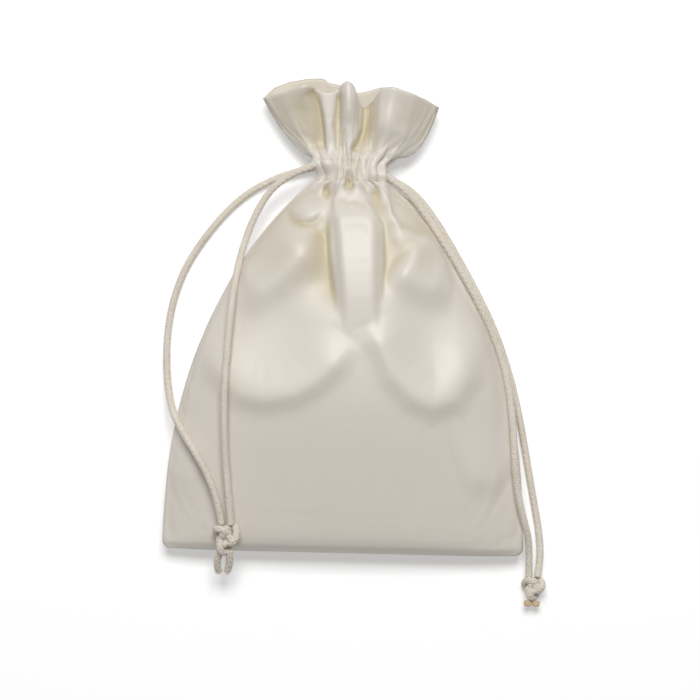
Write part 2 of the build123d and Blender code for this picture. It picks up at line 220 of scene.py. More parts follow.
class NodeBench:
    """Short calls for placing and joining the nodes of one tree."""

    def __init__(self, tree: bpy.types.NodeTree) -> None:
        """Keep the tree that nodes are placed in."""
        self.tree = tree

    def add(self, kind: str, **settings: object) -> bpy.types.Node:
        """Place a node.

        Args:
            kind: the node's type.
            **settings: properties to set on it.

        Returns:
            The node.
        """
        node = self.tree.nodes.new(kind)
        for label, value in settings.items():
            setattr(node, label, value)
        return node

    def join(self, start: bpy.types.NodeSocket, end: bpy.types.NodeSocket) -> None:
        """Link an output socket to an input socket."""
        self.tree.links.new(start, end)

    def sum(self, operation: str, first: object, second: object) -> bpy.types.NodeSocket:
        """Work out one sum with a Math node.

        Args:
            operation: the Math node's operation.
            first: a socket or a number.
            second: a socket or a number.

        Returns:
            The result's socket.
        """
        node = self.add("ShaderNodeMath", operation=operation)
        for socket, value in zip(node.inputs, (first, second)):
            if isinstance(value, bpy.types.NodeSocket):
                self.join(value, socket)
            else:
                socket.default_value = value
        return node.outputs[0]

    def blend_colours(self, share: bpy.types.NodeSocket, low: Sequence[float], high: Sequence[float]):
        """Mix two fixed colours by a mask.

        Args:
            share: the mask.
            low: the colour at 0.
            high: the colour at 1.

        Returns:
            The mixed colour's socket.
        """
        node = self.add("ShaderNodeMix", data_type="RGBA")
        self.join(share, node.inputs["Factor"])
        node.inputs["A"].default_value = (*low, 1.0)
        node.inputs["B"].default_value = (*high, 1.0)
        return node.outputs["Result"]

    def noise(self, place: bpy.types.NodeSocket, scale: float, detail: float,
              roughness: float = 0.5) -> bpy.types.NodeSocket:
        """Place a noise texture.

        Args:
            place: the coordinate it is read at.
            scale: its scale.
            detail: how many finer layers it has.
            roughness: how strong they are.

        Returns:
            The noise's value.
        """
        node = self.add("ShaderNodeTexNoise")
        set_inputs(node, {"Scale": scale, "Detail": detail, "Roughness": roughness})
        self.join(place, node.inputs["Vector"])
        return node.outputs["Fac"]

    def bump(self, height: bpy.types.NodeSocket, shader: bpy.types.Node, distance: float,
             strength: float = 1.0) -> None:
        """Give a shader's surface a relief.

        Args:
            height: the relief's height.
            shader: the shader.
            distance: the relief's full depth in metres.
            strength: how strongly it shows.
        """
        node = self.add("ShaderNodeBump")
        set_inputs(node, {"Strength": strength, "Distance": distance})
        self.join(height, node.inputs["Height"])
        self.join(node.outputs["Normal"], shader.inputs["Normal"])

    def map_coordinate(self, source: str, scale: float) -> bpy.types.NodeSocket:
        """Scale a texture coordinate.

        Args:
            source: Object or UV.
            scale: the scale along all three axes.

        Returns:
            The scaled coordinate's socket.
        """
        place = self.add("ShaderNodeTexCoord")
        turn = self.add("ShaderNodeMapping")
        turn.inputs["Scale"].default_value = (scale, scale, scale)
        self.join(place.outputs[source], turn.inputs["Vector"])
        return turn.outputs["Vector"]

    def lay_threads(self, weave: bpy.types.NodeTree, thread: float,
                    place: bpy.types.NodeSocket) -> bpy.types.Node:
        """Place the shared weave.

        Args:
            weave: the shared weave group.
            thread: one thread's width in the coordinate's units.
            place: the coordinate that it is laid on.

        Returns:
            The group node.
        """
        threads = self.add("ShaderNodeGroup", node_tree=weave)
        threads.inputs["Thread"].default_value = thread
        self.join(place, threads.inputs["Cloth"])
        return threads


def thread_weave_group() -> bpy.types.NodeTree:
    """Build the satin weave: long float threads along the cloth with fine slubs.

    Returns:
        A group that turns a cloth coordinate in millimetres into a height and a tint mask.
    """
    group = new_group(
        "thread_weave",
        {"Cloth": ("NodeSocketVector", 0.0), "Thread": ("NodeSocketFloat", 0.2)},
        {"Height": "NodeSocketFloat", "Tint": "NodeSocketFloat"},
    )
    bench = NodeBench(group)
    entry = group.nodes["Group Input"]
    leave = group.nodes["Group Output"]
    split = bench.add("ShaderNodeSeparateXYZ")
    bench.join(entry.outputs["Cloth"], split.inputs[0])
    across = bench.sum("DIVIDE", split.outputs["X"], entry.outputs["Thread"])
    wave = bench.sum("SINE", bench.sum("MULTIPLY", across, math.tau), 0.0)
    stretch = bench.add("ShaderNodeMapping")
    stretch.inputs["Scale"].default_value = (3.2, 0.35, 1.0)
    bench.join(entry.outputs["Cloth"], stretch.inputs["Vector"])
    slubs = bench.noise(stretch.outputs[0], scale=1.0, detail=4.0, roughness=0.7)
    height = bench.sum("ADD", bench.sum("MULTIPLY", wave, 0.18), bench.sum("MULTIPLY", slubs, 0.8))
    bench.join(height, leave.inputs["Height"])
    patches = bench.noise(entry.outputs["Cloth"], scale=0.045, detail=3.0)
    tint = bench.sum("ADD", bench.sum("MULTIPLY", slubs, 0.45), bench.sum("MULTIPLY", patches, 0.55))
    bench.join(tint, leave.inputs["Tint"])
    return group


def start_material(name: str) -> tuple[bpy.types.Material, NodeBench, bpy.types.Node]:
    """Start a material.

    Args:
        name: the material's name.

    Returns:
        The material, its bench and its Principled shader.
    """
    material = bpy.data.materials.new(name)
    material.use_nodes = True
    return material, NodeBench(material.node_tree), material.node_tree.nodes["Principled BSDF"]


@dataclass(frozen=True)
class SatinFinish:
    """Glossy ivory satin: a smooth float weave with a soft, broad shine, its colour mixed towards a painted
    yellow-olive shade in folds, creases and hollows.
    """

    name: str = "ivory_satin"
    pale: Point3 = (0.82, 0.765, 0.7)
    deep: Point3 = (0.76, 0.70, 0.61)
    # Painted shade colour, mixed in where the cloth's mask marks folds and hollows.
    shadow: Point3 = (0.59, 0.52, 0.34)
    thread: float = 0.16
    roughness: float = 0.47
    roughness_spread: float = 0.12
    gloss: float = 0.85
    relief: float = 0.00003

    def build(self, weave: bpy.types.NodeTree) -> bpy.types.Material:
        """Make the material.

        Args:
            weave: the shared weave group.

        Returns:
            The satin material.
        """
        material, bench, shader = start_material(self.name)
        threads = bench.lay_threads(weave, self.thread, bench.map_coordinate("UV", 1.0 / MM))
        plain = bench.blend_colours(threads.outputs["Tint"], self.deep, self.pale)
        # The mask stored on the cloth is painted shade: it mixes the weave's colour towards the shadow colour
        # in folds and hollows.
        depth = bench.add("ShaderNodeAttribute", attribute_name="painted_fold_shade")
        painted_shade = bench.add("ShaderNodeMix", data_type="RGBA")
        bench.join(depth.outputs["Fac"], painted_shade.inputs["Factor"])
        bench.join(plain, painted_shade.inputs["A"])
        painted_shade.inputs["B"].default_value = (*self.shadow, 1.0)
        bench.join(painted_shade.outputs["Result"], shader.inputs["Base Color"])
        spread = bench.sum("MULTIPLY", threads.outputs["Tint"], self.roughness_spread)
        low = self.roughness - 0.5 * self.roughness_spread
        bench.join(bench.sum("ADD", spread, low), shader.inputs["Roughness"])
        bench.bump(threads.outputs["Height"], shader, self.relief, strength=0.35)
        set_inputs(shader, {"Specular IOR Level": self.gloss, "Sheen Weight": 0.12, "Sheen Roughness": 0.35,
                            "Sheen Tint": (1.0, 0.98, 0.94, 1.0)})
        return material


@dataclass(frozen=True)
class CordFinish:
    """Braided satin cord: slightly deeper ivory threads with glints."""

    name: str = "braided_ivory"
    pale: Point3 = (0.96, 0.92, 0.85)
    deep: Point3 = (0.68, 0.59, 0.46)
    thread: float = 0.22
    scale: float = 3000.0
    roughness: float = 0.42
    roughness_spread: float = 0.2
    relief: float = 0.00005

    def build(self, weave: bpy.types.NodeTree) -> bpy.types.Material:
        """Make the material.

        Args:
            weave: the shared weave group.

        Returns:
            The cord material.
        """
        material, bench, shader = start_material(self.name)
        threads = bench.lay_threads(weave, self.thread, bench.map_coordinate("Object", self.scale))
        colour = bench.blend_colours(threads.outputs["Tint"], self.deep, self.pale)
        bench.join(colour, shader.inputs["Base Color"])
        spread = bench.sum("MULTIPLY", threads.outputs["Tint"], self.roughness_spread)
        low = self.roughness - 0.5 * self.roughness_spread
        bench.join(bench.sum("ADD", spread, low), shader.inputs["Roughness"])
        bench.bump(threads.outputs["Height"], shader, self.relief, strength=0.5)
        shader.inputs["Specular IOR Level"].default_value = 0.6
        return material


@dataclass(frozen=True)
class SealedFinish:
    """Heat-sealed cord end: melted fibre, amber in its middle."""

    name: str = "sealed_amber"
    pale: Point3 = (0.80, 0.70, 0.52)
    deep: Point3 = (0.62, 0.42, 0.16)
    scale: float = 900.0
    relief: float = 0.0001

    def build(self) -> bpy.types.Material:
        """Make the material and give it back."""
        material, bench, shader = start_material(self.name)
        stains = bench.noise(bench.map_coordinate("Object", self.scale), scale=1.0, detail=3.0)
        bench.join(bench.blend_colours(stains, self.deep, self.pale), shader.inputs["Base Color"])
        bench.bump(stains, shader, self.relief)
        shader.inputs["Roughness"].default_value = 0.3
        return material


@dataclass(frozen=True)
class FloorFinish:
    """Plain white sweep."""

    name: str = "white_sweep"
    colour: Point3 = (0.9, 0.9, 0.9)
    lift: float = 0.3

    def build(self) -> bpy.types.Material:
        """Make the material and give it back."""
        material, bench, shader = start_material(self.name)
        set_inputs(shader, {"Base Color": (*self.colour, 1.0), "Roughness": 0.9, "Specular IOR Level": 0.1})
        rays = bench.add("ShaderNodeLightPath")
        seen = bench.sum("MAXIMUM", rays.outputs["Is Camera Ray"], rays.outputs["Is Glossy Ray"])
        seen = bench.sum("MAXIMUM", seen, rays.outputs["Is Transmission Ray"])
        glow = bench.add("ShaderNodeEmission")
        bench.join(bench.sum("MULTIPLY", seen, self.lift), glow.inputs["Strength"])
        both = bench.add("ShaderNodeAddShader")
        bench.join(shader.outputs["BSDF"], both.inputs[0])
        bench.join(glow.outputs["Emission"], both.inputs[1])
        bench.join(both.outputs[0], material.node_tree.nodes["Material Output"].inputs["Surface"])
        return material


@dataclass
class Finishes:
    """Every material of the scene."""

    satin: bpy.types.Material
    cord: bpy.types.Material
    thread: bpy.types.Material
    sealed: bpy.types.Material

    @classmethod
    def mixed(cls) -> "Finishes":
        """Build the shared groups and the materials that use them."""
        weave = thread_weave_group()
        thread = CordFinish(name="sewing_thread", pale=(0.84, 0.79, 0.7), deep=(0.72, 0.65, 0.52))
        return cls(
            satin=SatinFinish().build(weave),
            cord=CordFinish().build(weave),
            thread=thread.build(weave),
            sealed=SealedFinish().build(),
        )


# ---------------------------------------------------------------- studio


@dataclass
class Studio:
    """White sweep, one soft lamp and the camera above the laid pouch."""

    target: Point2 = (0.00098, -0.0126)
    view_width: float = 0.25
    height: float = 0.91
    sensor: float = 36.0
    turn: float = 1.36
    aim: Point3 = (0.0, 0.0, 0.01)
    lamp_place: Point3 = (0.0, 0.62, 1.25)
    lamp_size: Point2 = (0.6, 0.5)
    lamp_power: float = 13.3
    surroundings: float = 0.25
    floor_size: float = 6.0

    def set_camera(self) -> None:
        """Place the camera straight above the pouch."""
        data = bpy.data.cameras.new("camera")
        data.sensor_width = self.sensor
        data.lens = self.sensor * (self.height - 0.01) / self.view_width
        data.clip_start = 0.01
        camera = bpy.data.objects.new("camera", data)
        camera.location = (self.target[0], self.target[1], self.height)
        camera.rotation_euler = (0.0, 0.0, math.radians(self.turn))
        bpy.context.scene.collection.objects.link(camera)
        bpy.context.scene.camera = camera

    def light(self) -> None:
        """Hang one soft lamp that faces the pouch, in plain pale surroundings."""
        data = bpy.data.lights.new("high_lamp", "AREA")
        data.shape = "RECTANGLE"
        data.size, data.size_y = self.lamp_size
        data.energy = self.lamp_power
        lamp = bpy.data.objects.new("high_lamp", data)
        lamp.location = self.lamp_place
        towards = Vector(self.aim) - lamp.location
        lamp.rotation_euler = towards.to_track_quat("-Z", "Y").to_euler()
        bpy.context.scene.collection.objects.link(lamp)
        world = bpy.data.worlds.new("surroundings")
        world.use_nodes = True
        set_inputs(world.node_tree.nodes["Background"],
                   {"Color": (1.0, 1.0, 1.0, 1.0), "Strength": self.surroundings})
        bpy.context.scene.world = world

    def lay_floor(self) -> None:
        """Lay the sweep under the pouch."""
        select_none()
        bpy.ops.mesh.primitive_plane_add(size=self.floor_size, location=(0.0, 0.0, 0.0))
        floor = bpy.context.object
        floor.name = "floor"
        dress(floor, FloorFinish().build())


# ---------------------------------------------------------------- cords


@dataclass
class CordRoute:
    """One free end of a drawcord: its route and its braid."""

    name: str
    body: str
    node: str
    length: float
    points: list[Point3]
    diameter: float = 2.8
    strands: int = 12
    strand_diameter: float = 0.76
    braid_pitch: float = 6.4
    weave_depth: float = 0.22
    step: float = 0.22

    def path(self) -> np.ndarray:
        """Read the points of the route's smooth curve.

        Returns:
            The points in metres, close together and evenly spaced.
        """
        data = bpy.data.curves.new(self.name + "_line", "CURVE")
        data.dimensions = "3D"
        data.resolution_u = 24
        spline = data.splines.new("NURBS")
        spline.points.add(len(self.points) - 1)
        for knob, point in zip(spline.points, self.points):
            knob.co = (point[0] * MM, point[1] * MM, point[2] * MM, 1.0)
        spline.order_u = 3
        spline.use_endpoint_u = True
        line = bpy.data.objects.new(self.name + "_line", data)
        bpy.context.scene.collection.objects.link(line)
        bpy.context.view_layer.update()
        mesh = bpy.data.meshes.new_from_object(line)
        found = np.array([vertex.co[:] for vertex in mesh.vertices])
        bpy.data.meshes.remove(mesh)
        bpy.data.objects.remove(line)
        length = float(np.linalg.norm(np.diff(found, axis=0), axis=1).sum())
        return spread_evenly(found, int(length / (self.step * MM)) + 1)


def line_frames(path: np.ndarray) -> tuple[np.ndarray, np.ndarray, np.ndarray]:
    """Carry a frame along a path without twist.

    Args:
        path: the path's points.

    Returns:
        The tangents and two cross directions at each point.
    """
    tangents = np.gradient(path, axis=0)
    tangents /= np.linalg.norm(tangents, axis=1, keepdims=True)
    first = np.zeros_like(path)
    start = np.cross(tangents[0], (0.0, 0.0, 1.0))
    if np.linalg.norm(start) < 0.1:
        start = np.cross(tangents[0], (1.0, 0.0, 0.0))
    first[0] = start / np.linalg.norm(start)
    for number in range(1, len(path)):
        carried = first[number - 1] - tangents[number] * np.dot(first[number - 1], tangents[number])
        first[number] = carried / np.linalg.norm(carried)
    return tangents, first, np.cross(tangents, first)


def tube(path: np.ndarray, radius: float, sides: int, offset: int = 0) -> tuple[np.ndarray, list]:
    """Skin a path with a closed tube.

    Args:
        path: the path's points.
        radius: its radius.
        sides: how many sides the tube has.
        offset: the number of the first corner.

    Returns:
        The corners and the faces.
    """
    count = len(path)
    _, first, second = line_frames(path)
    turns = (np.arange(sides) * math.tau / sides)[None, :, None]
    ring = np.cos(turns) * first[:, None, :] + np.sin(turns) * second[:, None, :]
    corners = (path[:, None, :] + radius * ring).reshape(-1, 3)
    corners = np.vstack([corners, path[:1], path[-1:]])
    faces = []
    for row in range(count - 1):
        for side in range(sides):
            after = (side + 1) % sides
            low = offset + row * sides
            faces.append((low + side, low + after, low + sides + after, low + sides + side))
    head = offset + count * sides
    last = offset + (count - 1) * sides
    for side in range(sides):
        after = (side + 1) % sides
        faces.append((head, offset + after, offset + side))
        faces.append((head + 1, last + side, last + after))
    return corners, faces


def braid(name: str, path: np.ndarray, route: CordRoute) -> bpy.types.Object:
    """Lay the strands of a round braid along a path.

    Args:
        name: the piece's name.
        path: evenly spaced points that the braid follows, in metres.
        route: the cord's sizes.

    Returns:
        The braid as one mesh piece.
    """
    _, first, second = line_frames(path)
    steps = np.linalg.norm(np.diff(path, axis=0), axis=1)
    passed = np.concatenate([[0.0], np.cumsum(steps)])
    middle = (0.5 * (route.diameter - route.strand_diameter) - route.weave_depth) * MM
    half = route.strands // 2
    corners, faces, count = [], [], 0
    for number in range(route.strands):
        way = 1.0 if number < half else -1.0
        phase = math.tau * (number % half) / half
        angle = way * (math.tau * passed / (route.braid_pitch * MM) + phase)
        over = way * np.cos(half * math.tau * passed / (route.braid_pitch * MM) + (number % half) * math.pi)
        reach = middle + route.weave_depth * MM * over
        strand = path + reach[:, None] * (np.cos(angle)[:, None] * first + np.sin(angle)[:, None] * second)
        points, skin = tube(strand, 0.5 * route.strand_diameter * MM, 5, count)
        corners.append(points)
        faces.extend(skin)
        count += len(points)
    core, skin = tube(path[:: 5], middle * 0.92, 8, count)
    corners.append(core)
    faces.extend(skin)
    return mesh_piece(name, np.vstack(corners), faces)


@dataclass
class Knot:
    """Overhand knot that joins the two ends of one drawcord."""

    name: str
    node: str
    centre: Point3
    heading: Point3
    half_size: Point3

    def frame(self) -> Matrix:
        """Give the knot's own axes: X along its heading."""
        along = Vector(self.heading).normalized()
        across = Vector((0.0, 0.0, 1.0)).cross(along).normalized()
        up = along.cross(across)
        turn = Matrix((along, across, up)).transposed()
        return Matrix.Translation(Vector(self.centre)) @ turn.to_4x4()

    def path(self) -> np.ndarray:
        """Lay the tied strand: three lobes that pass over and under one another.

        Returns:
            The path's points in metres.
        """
        turns = np.linspace(0.0, math.tau, 240)
        along = self.half_size[0] * (-0.19 - (np.cos(turns) - 2.0 * np.cos(2.0 * turns)) / 2.53)
        across = self.half_size[1] * (np.sin(turns) + 2.0 * np.sin(2.0 * turns)) / 2.74
        local = np.stack([along, across, self.half_size[2] * np.sin(3.0 * turns)], axis=1)
        moved = np.array([(self.frame() @ Vector(point))[:] for point in local])
        length = float(np.linalg.norm(np.diff(moved, axis=0), axis=1).sum())
        return spread_evenly(moved * MM, int(length / 0.22))

    def build(self, route: CordRoute) -> bpy.types.Object:
        """Model the knot from the cord that it is tied in.

        Args:
            route: the cord's sizes.

        Returns:
            The knot piece.
        """
        outer = self.path()
        middle = outer.mean(axis=0)
        inner = middle + (outer - middle) * (-0.62, -0.62, -0.8)
        piece = braid(self.name, outer, route)
        filling = braid(self.name + "_filling", spread_evenly(inner, int(0.7 * len(inner))), route)
        make_active(piece)
        filling.select_set(True)
        bpy.ops.object.join()
        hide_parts(self.node)
        return piece


@dataclass
class Drawcords:
    """Both drawcords: four free strands, two knots and their ends.

    Each tail has its root, its share of the tails' length and how far it bows to the side.
    """

    left_outer: CordRoute = field(default_factory=lambda: CordRoute(
        "left_outer_cord", "left_loop", "left_outer_strand", 0.1641,
        [(-12.1, 53.25, 3.5), (-18.5, 51.4, 3.3), (-25.5, 49.2, 2.6), (-33, 45.8, 1.9), (-40.5, 40.4, 1.6),
         (-47.5, 33, 1.6), (-54, 24.3, 1.6), (-59.5, 14.8, 1.6), (-63, 4.5, 1.6), (-64.8, -6, 1.6),
         (-65.1, -16.5, 2.3), (-64.2, -26.8, 5.2), (-61.8, -36.4, 11.6), (-56.8, -44.4, 18.2),
         (-51.2, -52.3, 21.3), (-46.8, -60.5, 21.7), (-44.2, -68.5, 20.7), (-42.9, -75.3, 19.4)]))
    left_inner: CordRoute = field(default_factory=lambda: CordRoute(
        "left_inner_cord", "left_loop", "left_inner_strand", 0.1443,
        [(-12.1, 53.25, 13.5), (-17.5, 51.2, 13.2), (-23.5, 48.2, 12.2), (-28.8, 43.8, 11.2),
         (-33.4, 36.2, 10.4), (-36.9, 27.2, 10.6), (-39.4, 17, 13.6), (-40.9, 6.5, 19.7), (-41.6, -4.5, 22.8),
         (-42.2, -16, 25.2), (-42.7, -27.5, 26.6), (-42.6, -39, 25.9), (-42.1, -50, 24.1),
         (-41.2, -60.5, 22.3), (-40.3, -68.8, 20.9), (-39.7, -75.3, 19.4)]))
    right_inner: CordRoute = field(default_factory=lambda: CordRoute(
        "right_inner_cord", "right_loop", "right_inner_strand", 0.1597,
        [(12.1, 49.75, 13.5), (17, 46.8, 13.4), (22.1, 42.1, 13.2), (27.4, 35.3, 13.3), (32.5, 27.8, 14),
         (37.6, 20, 14.8), (42.4, 12.1, 14.7), (47, 3.8, 13.9), (51.1, -4.4, 13.3), (54.8, -13.2, 13.1),
         (57.4, -22.8, 13.4), (59, -32.8, 14), (59.9, -42.8, 15), (60.6, -52.5, 15.4), (61.8, -62, 14.5),
         (63.9, -70.4, 12.4), (66.4, -78.2, 8.9), (67.1, -86.2, 5.2), (67.2, -92.6, 4.3)]))
    right_outer: CordRoute = field(default_factory=lambda: CordRoute(
        "right_outer_cord", "right_loop", "right_outer_strand", 0.1603,
        [(12.1, 49.75, 3.5), (18.3, 47.4, 3.3), (24.2, 43, 2.8), (29.8, 36.2, 2.2), (34.8, 28.6, 1.7),
         (39.7, 20.4, 1.6), (44.7, 11.8, 1.6), (49.5, 2.8, 1.6), (53.8, -6.4, 1.6), (57.4, -16.2, 1.6),
         (60.4, -26.2, 1.6), (62.8, -36.4, 1.6), (64.8, -46.4, 1.6), (66.6, -56, 1.6), (68.5, -65.6, 1.6),
         (70.3, -74.6, 1.7), (71.2, -82.4, 2.4), (70.9, -88.2, 3.4), (70.3, -92.6, 4.3)]))
    left_knot: Knot = field(default_factory=lambda: Knot(
        "left_overhand_knot", "left_knot", (-41.4, -80.7, 18.4), (-0.05, -1.0, -0.3), (4.6, 3.7, 2.3)))
    right_knot: Knot = field(default_factory=lambda: Knot(
        "right_overhand_knot", "right_knot", (68.75, -96.9, 4.65), (-0.05, -1.0, 0.0), (3.2, 3.1, 2.2)))
    tails: tuple[tuple[Point3, float, float], ...] = (
        ((-43.3, -86.0, 16.6), 1.0, -0.8), ((-40.3, -86.2, 16.6), 0.95, 0.6))
    tail_heading: Point3 = (-0.1, -1.0, -0.75)
    tail_length: float = 8.5
    tail_root: float = 2.0

    def build_free_cord(self, route: CordRoute, finishes: Finishes) -> None:
        """Args:
            route: the strand's route and sizes.
            finishes: the scene's materials.
        """
        path = route.path()
        piece = braid(route.name, path, route)
        dress(piece, finishes.cord)
        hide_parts(route.node)
        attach(piece, route.body)

    def build_tails(self, name: str) -> bpy.types.Object:
        """Lay the two short ends that leave the left knot.

        Args:
            name: the piece's name.

        Returns:
            The tails as one piece.
        """
        way = np.array(self.tail_heading, float)
        way /= np.linalg.norm(way)
        pieces = []
        for number, (root, length, bow) in enumerate(self.tails):
            start = np.array(root) - way * self.tail_root
            end = np.array(root) + way * self.tail_length * length
            share = np.linspace(0.0, 1.0, 60)[:, None]
            line = start + (end - start) * share + np.array([bow, 0.0, 0.3]) * np.sin(share * math.pi)
            pieces.append(braid(f"{name}_{number}", line * MM, self.left_outer))
        make_active(pieces[0])
        for piece in pieces:
            piece.select_set(True)
        bpy.ops.object.join()
        joined = bpy.context.object
        joined.name = name
        return joined

    def build(self, finishes: Finishes) -> None:
        """Make both cords, their knots and their ends.

        Args:
            finishes: the scene's materials.
        """
        left_knot = self.left_knot.build(self.left_outer)
        right_knot = self.right_knot.build(self.right_outer)
        tails = self.build_tails("left_tails")
        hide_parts("left_cord_tails")
        for piece, body in ((left_knot, "left_loop"), (tails, "left_loop"), (right_knot, "right_loop")):
            dress(piece, finishes.cord)
            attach(piece, body)
        self.build_free_cord(self.left_outer, finishes)
        self.build_free_cord(self.left_inner, finishes)
        self.build_free_cord(self.right_inner, finishes)
        self.build_free_cord(self.right_outer, finishes)
        LOG.info("drawcords: 4 strands, 2 knots")


# ---------------------------------------------------------------- the satin pouch


@dataclass(frozen=True)
class Fold:
    """A raised or sunk line in the cloth, in millimetres from the base seam, which can also paint shade into
    the cloth's colour along it.
    """

    line: Sequence[Point2]
    rise: float
    left: float | Sequence[float]
    right: float | Sequence[float]
    ease_in: float = 0.0
    ease_out: float = 0.0
    power: float = 2.0
    # How strongly the fold paints shade into the cloth's colour.
    painted_shade: float = 0.0

    def shape(self, x: np.ndarray, y: np.ndarray) -> np.ndarray:
        """Work out how much of the fold each point takes.

        Args:
            x: the points' x.
            y: the points' distance from the base seam.

        Returns:
            The shares, 1 on the fold's line and 0 well beside it.
        """
        gap, share = distance_to_line(x, y, self.line)
        corners = np.linspace(0.0, 1.0, len(self.line))
        left = np.interp(share, corners, np.broadcast_to(self.left, corners.shape))
        right = np.interp(share, corners, np.broadcast_to(self.right, corners.shape))
        fade = np.ones_like(x)
        if self.ease_in > 0.0:
            fade = fade * smooth_step(-0.001, self.ease_in, share)
        if self.ease_out > 0.0:
            fade = fade * (1.0 - smooth_step(1.0 - self.ease_out, 1.001, share))
        return np.exp(-((np.abs(gap) / np.where(gap >= 0.0, left, right)) ** self.power)) * fade


@dataclass(frozen=True)
class Dish:
    """A rounded sag, or a swelling when its rise is positive, which can also paint shade into the cloth's
    colour over it.
    """

    centre: Point2
    half_size: Point2
    rise: float
    # How strongly the dish paints shade into the cloth's colour.
    painted_shade: float = 0.0

    def shape(self, x: np.ndarray, y: np.ndarray) -> np.ndarray:
        """Work out how much of the dish each point takes.

        Args:
            x: the points' x.
            y: the points' distance from the base seam.

        Returns:
            The shares, 1 in its middle and 0 from its rim on.
        """
        gap = np.hypot((x - self.centre[0]) / self.half_size[0], (y - self.centre[1]) / self.half_size[1])
        return np.cos(0.5 * math.pi * np.clip(gap, 0.0, 1.0)) ** 2


Form = Fold | Dish


def total_rise(forms: Sequence[Form], x: np.ndarray, laid: float | np.ndarray) -> np.ndarray:
    """Add up how much several forms raise the cloth.

    Args:
        forms: the forms.
        x: the points' x.
        laid: their distance from the base seam, one for all or one each.

    Returns:
        The rise at each point.
    """
    y = np.broadcast_to(laid, x.shape)
    return sum(form.rise * form.shape(x, y) for form in forms)


def total_painted_shade(forms: Sequence[Form], x: np.ndarray, laid: np.ndarray) -> np.ndarray:
    """Add up how much painted shade several forms put into the cloth's colour, for the same points as
    total_rise.
    """
    return sum(form.painted_shade * form.shape(x, laid) for form in forms if form.painted_shade > 0.0)


# Each gather's top: its share across the half ring, and its height.
FRONT_PLEATS = ((-1.05, 0.4), (-0.78, 1.1), (-0.46, 0.5), (-0.265, 0.9), (-0.16, 0.8), (-0.04, 1.3),
                (0.085, 0.9), (0.263, 0.5), (0.46, 0.8), (0.69, 1.2), (1.05, 0.4))
BACK_PLEATS = ((-1.05, 0.4), (-0.82, 0.8), (-0.66, 0.7), (-0.5, 1.1), (-0.36, 0.7), (-0.14, 1.1), (0.02, 0.8),
               (0.2, 1.2), (0.33, 0.7), (0.52, 1.0), (0.72, 0.8), (0.86, 0.9), (1.05, 0.4))
# Two fine folds that run from the body on into the casing.
CASING_STRANDS: tuple[Form, ...] = (
    Fold([(-1.5, 138), (-2.0, 135.5), (-3.6, 133), (-4.6, 130)], 1.0, 1.1, 1.1, 0.2, 0.4),
    Fold([(-0.2, 138), (0.5, 135.3), (2.1, 133), (3.3, 130)], 1.0, 1.1, 1.1, 0.2, 0.4),
)
RIDGE_REACH = (4.4, 6.0, 7.0, 7.3, 7.3, 6.9, 6.1, 5.8, 5.4)
# The front's ridge, valleys, lobes, hollows and scalloped edges, from the gathers down; several also paint
# shade into their valleys, and the two flat dishes over the upper lobes paint shade only.
FRONT_FORMS: tuple[Form, ...] = (
    Fold([(-1.1, 133), (-0.6, 127), (0.7, 122), (1.9, 118), (2.4, 114), (3.1, 103), (3.8, 91), (4.4, 83),
          (5, 77)], 2.6, RIDGE_REACH, RIDGE_REACH, 0.0, 0.42, 10.0),
    Fold([(-7.8, 125), (-8.4, 115), (-8.0, 107), (-6.6, 98), (-5.2, 90), (-3.8, 82)], -2.7, 1.4,
         (1.4, 4.5, 7.0, 8.0, 8.0, 7.0), 0.3, 0.4, 2.0, 0.85),
    Fold([(7.6, 131), (9.6, 124), (12.2, 116), (12.8, 104), (12.4, 94), (12.0, 86)], -1.8,
         (1.6, 2.2, 4.0, 5.0, 5.0, 5.0), 1.2, 0.1, 0.35, 2.0, 0.4),
    Fold([(12.2, 131.5), (13.2, 125.3), (14.7, 120.5), (17.8, 115), (23.7, 111.8), (28.3, 110), (36, 108)],
         1.9, (0.8, 0.8, 0.9, 1.2, 2.0, 3.0, 4.0), (3.0, 3.6, 4.0, 5.0, 6.0, 6.0, 6.0), 0.0, 0.35),
    Fold([(-11, 115), (-18, 106), (-26, 97.5), (-34, 91.5), (-42, 86.5)], 3.8, 6.5, 12.0, 0.25, 0.35),
    Fold([(15, 104), (21, 99.5), (29, 96), (38, 95.5)], 3.6, 11.0, 6.5, 0.3, 0.3),
    Dish((-15.3, 122.3), (7.6, 6.8), 1.5),
    Fold([(-15.9, 128.9), (-20.6, 125.5), (-22, 121.6), (-20.4, 118.2), (-16.5, 116.4), (-12.7, 117.4),
          (-8.8, 121.5)], -1.0, 1.2, 1.6, 0.15, 0.15),
    Dish((-0.5, 131.2), (2.6, 4.2), -3.0, 0.9),
    *CASING_STRANDS,
    Fold([(-8.9, 132), (-8.4, 124.5)], -2.2, 1.0, 1.1, 0.4, 0.45, 2.0, 0.8),
    Dish((-24.0, 84.0), (27.0, 32.0), -2.9),
    Dish((28.0, 83.5), (20.0, 31.0), -2.9),
    Fold([(1.6, 77), (-5, 67), (-12, 60.6), (-19, 56.8), (-28.8, 54.8), (-36.8, 56.4), (-42, 60.5),
          (-47, 66.5), (-50, 74), (-49.3, 84)], 2.1, 4.2, 9.5, 0.12, 0.25),
    Fold([(6.8, 83), (12.5, 74), (17, 64), (23.7, 57), (30.6, 53.7), (37.7, 56.4), (42.9, 64.4), (45.2, 76),
          (43.1, 88.5)], 2.1, 8.5, 4.2, 0.12, 0.25),
    # Painted shade only: these two darken the upper lobes' colour and do not move the cloth.
    Dish((-25, 113), (24, 27), 0.0, 0.45),
    Dish((25, 114), (20, 26), 0.0, 0.45),
    Fold([(41, 26), (50, 29), (58, 25)], 1.2, 14.0, 5.5, 0.3, 0.3),
    Fold([(-64, 24), (-58, 27), (-52, 24)], 0.7, 12.0, 5.5, 0.3, 0.3),
)
